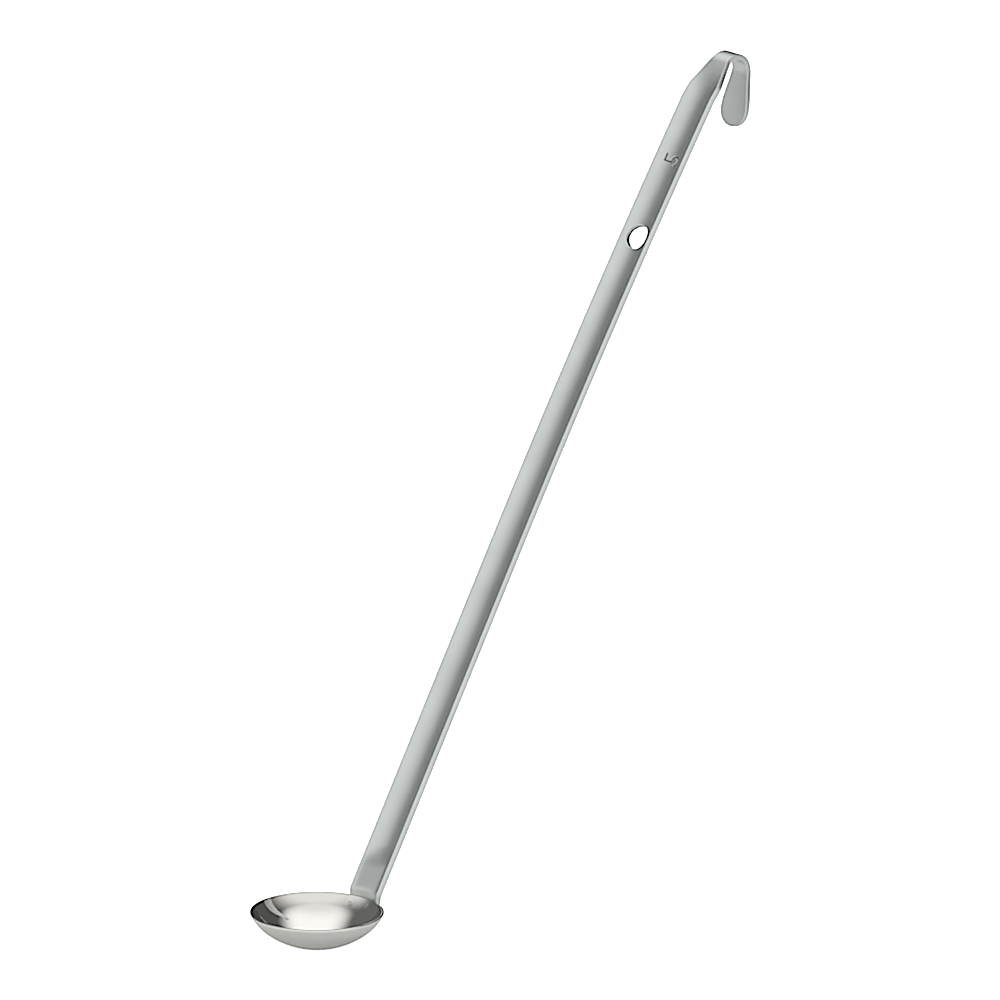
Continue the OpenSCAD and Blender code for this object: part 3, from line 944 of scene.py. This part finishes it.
def add_dome(stage):
    """Soft light from the camera's side, and a dark studio behind the ladle."""
    world = bpy.data.worlds.new("studio_dome")
    world.use_nodes = True
    tree = world.node_tree
    tree.nodes.clear()
    to_camera = (math.sin(stage.azimuth), -math.cos(stage.azimuth), 0)
    to_right = (math.cos(stage.azimuth), math.sin(stage.azimuth), 0)
    way = add_node(tree, "ShaderNodeTexCoord", {}).outputs["Generated"]
    height = add_node(tree, "ShaderNodeSeparateXYZ", {"Vector": way}).outputs["Z"]
    facing = add_node(tree, "ShaderNodeVectorMath", {0: way, 1: to_camera}, operation="DOT_PRODUCT")
    aside = add_node(tree, "ShaderNodeVectorMath", {0: way, 1: to_right}, operation="DOT_PRODUCT")
    dark = add_node(tree, "ShaderNodeMapRange", {
        "Value": aside.outputs["Value"], "From Min": DARK_FROM_LEFT[0], "From Max": DARK_FROM_LEFT[1],
        "To Min": stage.dark_left, "To Max": stage.dark_right}, interpolation_type="SMOOTHSTEP")
    fill = add_node(tree, "ShaderNodeMapRange", {
        "Value": height, "From Min": FILL_HEIGHTS[0], "From Max": FILL_HEIGHTS[1],
        "To Min": stage.fill_light, "To Max": stage.fill_top}, interpolation_type="SMOOTHSTEP")
    side = add_node(tree, "ShaderNodeMapRange", {
        "Value": facing.outputs["Value"], "From Min": CAMERA_SIDE[0], "From Max": CAMERA_SIDE[1]},
        interpolation_type="SMOOTHSTEP")
    over = add_node(tree, "ShaderNodeMapRange", {
        "Value": height, "From Min": OVERHEAD[0], "From Max": OVERHEAD[1]},
        interpolation_type="SMOOTHSTEP")
    white = add_node(tree, "ShaderNodeMath", {0: side.outputs[0], 1: over.outputs[0]}, operation="MAXIMUM")
    glow = add_node(tree, "ShaderNodeMix", {
        "Factor": white.outputs[0], "A": dark.outputs[0], "B": fill.outputs[0]})
    # The backdrop itself is plain white
    seen = add_node(tree, "ShaderNodeLightPath", {}).outputs["Is Camera Ray"]
    strength = add_node(tree, "ShaderNodeMix", {"Factor": seen, "A": glow.outputs[0], "B": stage.backdrop})
    light = add_node(tree, "ShaderNodeBackground", {
        "Color": (1, 1, 1, 1), "Strength": strength.outputs[0]})
    add_node(tree, "ShaderNodeOutputWorld", {"Surface": light.outputs[0]})
    bpy.context.scene.world = world


def add_camera(stage, rim_centre):
    """A camera without perspective, as the picture shows none."""
    turn = stage.azimuth
    rise = stage.elevation
    right = Vector((math.cos(turn), math.sin(turn), 0))
    back = Vector((math.sin(turn) * math.cos(rise), -math.cos(turn) * math.cos(rise), math.sin(rise)))
    up = back.cross(right)
    right_of_rim = (IMAGE_WIDTH / 2 - stage.rim_pixel_x) * stage.pixel
    above_rim = (stage.rim_pixel_y - IMAGE_WIDTH / 2) * stage.pixel
    data = bpy.data.cameras.new("camera")
    data.type = "ORTHO"
    data.ortho_scale = IMAGE_WIDTH * stage.pixel
    camera = bpy.data.objects.new("camera", data)
    aim = rim_centre + right_of_rim * right + above_rim * up
    axes = Matrix((right, up, back)).transposed()
    camera.matrix_world = Matrix.Translation(aim + stage.camera_away * back) @ axes.to_4x4()
    bpy.context.scene.collection.objects.link(camera)
    bpy.context.scene.camera = camera


def add_sharpening(stage):
    """The softness of a lens, and the sharpening that a camera gives its pictures."""
    scene = bpy.context.scene
    scene.use_nodes = True
    tree = scene.node_tree
    tree.nodes.clear()
    picture = add_node(tree, "CompositorNodeRLayers", {}).outputs["Image"]
    soft = add_node(tree, "CompositorNodeFilter", {"Image": picture, "Fac": stage.softening},
                    filter_type="SOFTEN").outputs["Image"]
    crisp = add_node(tree, "CompositorNodeFilter", {"Image": soft, "Fac": stage.sharpening},
                     filter_type="SHARPEN")
    add_node(tree, "CompositorNodeComposite", {"Image": crisp.outputs["Image"]})


# Operators
class LADLE_OT_bowl(bpy.types.Operator):
    """Build the pressed bowl"""
    bl_idname = "ladle.bowl"
    bl_label = "Bowl"

    def execute(self, context):
        ladle = context.scene.ladle
        centre = StripShape(ladle).rim_centre
        finish = ladle.finish
        outside = satin_steel("stainless_steel_tumbled_bowl", finish.outside, finish)
        materials = [polished_steel(finish, centre), outside]
        add_piece("pressed_bowl", bowl_mesh(ladle), "bowl", materials)
        return {"FINISHED"}


class LADLE_OT_handle(bpy.types.Operator):
    """Build the strip handle with its hole, numeral and hook"""
    bl_idname = "ladle.handle"
    bl_label = "Handle"

    def execute(self, context):
        ladle = context.scene.ladle
        finish = ladle.finish
        satin = satin_steel("stainless_steel_tumbled_satin", finish.satin, finish)
        materials = [satin, punched_steel_and_shade(finish)]
        add_piece("strip_handle", strip_mesh(ladle), "handle", materials)
        return {"FINISHED"}


class LADLE_OT_welds(bpy.types.Operator):
    """Build the two spot welds"""
    bl_idname = "ladle.welds"
    bl_label = "Spot welds"

    def execute(self, context):
        ladle = context.scene.ladle
        add_piece("weld_nuggets", weld_mesh(ladle), "weld_spots", [weld_steel(ladle.finish)])
        return {"FINISHED"}


class LADLE_OT_stage(bpy.types.Operator):
    """Set up the camera, the floor and the light"""
    bl_idname = "ladle.stage"
    bl_label = "Stage"

    def execute(self, context):
        stage = context.scene.ladle.stage
        rim_centre = StripShape(context.scene.ladle).rim_centre
        add_floor(stage)
        add_screens(stage, rim_centre)
        add_dome(stage)
        add_camera(stage, rim_centre)
        add_sharpening(stage)
        context.scene.view_settings.view_transform = "Standard"
        return {"FINISHED"}


class LADLE_PT_sidebar(bpy.types.Panel):
    """Sizes, colours and build steps of the ladle"""
    bl_idname = "LADLE_PT_sidebar"
    bl_label = "Steel Ladle"
    bl_space_type = "VIEW_3D"
    bl_region_type = "UI"
    bl_category = "Ladle"

    def draw(self, context):
        ladle = context.scene.ladle
        for group in ("bowl", "handle", "hook", "numeral", "welds", "finish", "stage"):
            box = self.layout.box()
            box.label(text=group.capitalize())
            settings = getattr(ladle, group)
            for name in settings.bl_rna.properties.keys():
                if name not in ("rna_type", "name"):
                    box.prop(settings, name)
        for operator in (LADLE_OT_bowl, LADLE_OT_handle, LADLE_OT_welds, LADLE_OT_stage):
            self.layout.operator(operator.bl_idname)


CLASSES = (LadleBowl, LadleHandle, LadleHook, LadleNumeral, LadleWelds, LadleFinish, LadleStage, Ladle,
           LADLE_OT_bowl, LADLE_OT_handle, LADLE_OT_welds, LADLE_OT_stage, LADLE_PT_sidebar)


def register():
    """Register the classes and give the scene its ladle settings."""
    for cls in CLASSES:
        bpy.utils.register_class(cls)
    bpy.types.Scene.ladle = bpy.props.PointerProperty(type=Ladle)


def unregister():
    """Take the settings and the classes away again."""
    del bpy.types.Scene.ladle
    for cls in reversed(CLASSES):
        bpy.utils.unregister_class(cls)


def main():
    """Build the stage and every piece."""
    register()
    bpy.ops.ladle.stage()
    bpy.ops.ladle.bowl()
    bpy.ops.ladle.handle()
    bpy.ops.ladle.welds()


if __name__ == "__main__":
    main()
